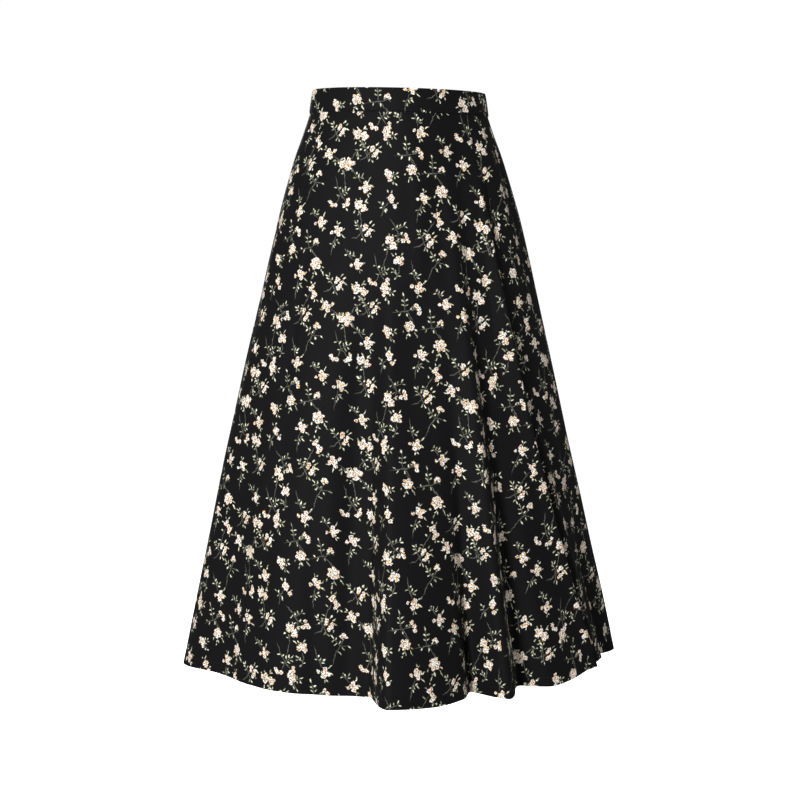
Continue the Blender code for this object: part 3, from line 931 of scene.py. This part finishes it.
bandMake = {
    "columnDegrees": 1.2,
    "edgeSteps": (0.008, 0.022, 0.05, 0.09),
    "cloth": 0.00045,        # thickness of one layer
    "foldRadius": 0.00085,   # of the fold along the top edge, half of the finished band's thickness
    "foldSteps": 8,
    "proud": 0.0006,         # how far the band stands out from the panels' tops
    "belly": 0.0006,         # how far the outer layer rounds out between its edges
    "bellyShape": 0.7,       # below 1 it is fuller near them
    "seamRoll": 0.0009,
    "seamRollWide": 0.0016,
    "rowsOfEach": 13,        # rows of points up each layer
    "lowRows": (0.0012, 0.0004, 0.0),    # the last of them, above the lower edge
    "relief": 0.6,           # share of the panels' creases that shows in the stiffer band
}


def makeBand(name, node, firstLine, lastLine, centreDegrees, finish, printShift):
    # a strip folded along its middle: up the inner layer, over the top, then down the outer layer
    make = bandMake
    ring = Ring(firstLine, lastLine, make["columnDegrees"], make["edgeSteps"])
    height, radius, cloth = skirt["bandHeight"], make["foldRadius"], make["cloth"]
    count = make["rowsOfEach"]
    faceLevels = [radius + (height - radius) * (k / count) for k in range(count)]
    faceLevels += [height - step for step in make["lowRows"]]
    # rows of (level, out from the form, hidden side's place, turn over the fold, place along the strip)
    inner = [(level, -2 * radius, cloth, 0.0, level) for level in reversed(faceLevels)]
    over = []
    for k in range(make["foldSteps"] - 1, 0, -1):
        turn = math.pi * k / make["foldSteps"]
        out = radius * math.cos(turn) - radius
        over.append((radius - radius * math.sin(turn), out, 0.0, turn, radius * (turn - math.pi / 2)))
    outerFace = [(level, 0.0, -cloth, 0.0, -level) for level in faceLevels]
    strip = inner + over + outerFace
    levels = sorted({row[0] for row in strip})
    grid = ring.hang(levels, relief=make["relief"])
    normals = outwardNormals(grid)
    rowOf = {level: k for k, level in enumerate(levels)}
    visible, hidden = [], []
    for level, out, lining, turn, _ in strip:
        base, normal = grid[rowOf[level]], normals[rowOf[level]]
        across = arcLengths(base)
        fromSide = np.minimum(across, across[-1] - across)
        out = out + make["proud"]
        if turn:
            away = (radius - cloth) * math.cos(turn) - radius + make["proud"]
            visible.append(base + normal * out)
            hidden.append(base + normal * away - np.array([0.0, 0.0, cloth * math.sin(turn)]))
            continue
        if lining < 0:
            share = (level - radius) / (height - radius)
            roll = make["seamRoll"] * np.exp(-(fromSide / make["seamRollWide"]) ** 2)
            out += make["belly"] * math.sin(math.pi * share) ** make["bellyShape"] - roll
            out -= make["seamRoll"] * math.exp(-((height - level) / make["seamRollWide"]) ** 2)
        visible.append(base + normal * np.reshape(out, (-1, 1)))
        hidden.append(base + normal * np.reshape(out + lining, (-1, 1)))
    visible, hidden = pressedTogether(np.array(visible)), pressedTogether(np.array(hidden))
    loop = np.concatenate([visible, hidden[::-1]])
    across = arcLengths(grid[0])
    centre = float(np.interp(centreDegrees, ring.degrees(0.0), across))
    fromSide = np.minimum(across, across[-1] - across)
    upStrip = np.array([row[-1] for row in strip])[:, None] * np.ones(len(across))
    acrossStrip = np.broadcast_to(across - centre, upStrip.shape)
    places = np.stack([acrossStrip, upStrip], axis=-1) + np.array(printShift)
    trimShown = np.stack([np.broadcast_to(fromSide + trimLift, upStrip.shape), upStrip * 0 + 0.5], axis=-1)
    trimHidden = trimShown * np.array([-1.0, 1.0])
    piece = clothMesh(name, loop, np.concatenate([places, places[::-1]]),
                      np.concatenate([trimShown, trimHidden[::-1]]), finish)
    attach(piece, "root")
    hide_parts(node)
    print(name, "made:", len(piece.data.polygons), "faces, cloth", round(areaOf(visible), 4))


makeBand("bandFront", "waistband_front", "leftSide", "rightSide", 0.0,
         bandFinish, (0.0966, 0.117))
makeBand("bandBack", "waistband_back", "rightSide", "leftSideAgain", 180.0,
         bandFinish, (0.09, 0.06))


studio = {
    "floorLevel": -1.35,
    "floorSize": 60.0,
    "floorColour": (0.93, 0.93, 0.93, 1.0),
    "floorRoughness": 0.9,
    "floorSpecular": 0.1,
    "floorGlow": 0.9,
    "backdrop": 1.02,        # the white that shows behind the skirt
    "ambient": 0.2,          # how much of it lights the skirt
    "lights": (              # name, place, aimed at, size, watts
        ("key", (-1.2, -3.1, 0.6), (0.0, 0.0, -0.42), 0.8, 128.0),
        ("fill", (-2.9, -0.8, 0.1), (0.0, 0.0, -0.45), 1.2, 16.0),
        ("side", (2.5, -0.5, 0.2), (0.1, 0.0, -0.45), 0.8, 10.0),
        ("back", (-0.6, 3.1, 0.8), (0.0, 0.0, -0.42), 1.2, 80.0),
    ),
    "camera": (0.0014, -2.505, -0.1685),
    "frame": 800,            # pixels across a render
    "pitchPixels": 186.0,    # how far the horizon lies above its middle
    "lens": 80.0,
    "sensor": 36.0,
    "sees": 200.0,           # how far the camera sees
}


def makeStudio(look):
    half = look["floorSize"] / 2
    mesh = bpy.data.meshes.new("floor")
    ends = ((-1, -1), (1, -1), (1, 1), (-1, 1))
    corners = [(x * half, y * half, look["floorLevel"]) for x, y in ends]
    mesh.from_pydata(corners, [], [(0, 1, 2, 3)])
    floor = placed("floor", mesh)
    material = bpy.data.materials.new("floorWhite")
    material.use_nodes = True
    setValues(material.node_tree.nodes["Principled BSDF"], {
        "Base Color": look["floorColour"],
        "Roughness": look["floorRoughness"],
        "Specular IOR Level": look["floorSpecular"],
        "Emission Color": (1.0, 1.0, 1.0, 1.0),
        "Emission Strength": look["floorGlow"],
    })
    mesh.materials.append(material)
    floor.visible_diffuse = False
    floor.visible_glossy = False

    world = bpy.data.worlds.new("softStudio")
    bpy.context.scene.world = world
    world.use_nodes = True
    nodes = Nodes(world)
    seen = nodes.add("ShaderNodeLightPath")
    background = world.node_tree.nodes["Background"]
    setValues(background, {"Color": (1.0, 1.0, 1.0, 1.0)})
    strength = seen.timesPlus(look["backdrop"] - look["ambient"], look["ambient"])
    nodes.tree.links.new(strength.socket, background.inputs["Strength"])

    for name, place, target, size, watts in look["lights"]:
        data = bpy.data.lights.new(name, "AREA")
        data.shape = "DISK"
        data.size = size
        data.energy = watts
        lamp = placed(name, data)
        lamp.location = place
        aim = np.array(target) - np.array(place)
        level = math.hypot(aim[0], aim[1])
        lamp.rotation_euler = (math.pi / 2 + math.atan2(aim[2], level), 0.0, math.atan2(-aim[0], aim[1]))

    data = bpy.data.cameras.new("camera")
    data.lens = look["lens"]
    data.sensor_width = look["sensor"]
    data.clip_end = look["sees"]
    camera = placed("camera", data)
    pixels = look["frame"] * look["lens"] / look["sensor"]
    camera.location = look["camera"]
    camera.rotation_euler = (math.pi / 2 - math.atan(look["pitchPixels"] / pixels), 0.0, 0.0)
    bpy.context.scene.camera = camera
    bpy.context.scene.view_settings.view_transform = "Standard"


makeStudio(studio)
print("studio ready")
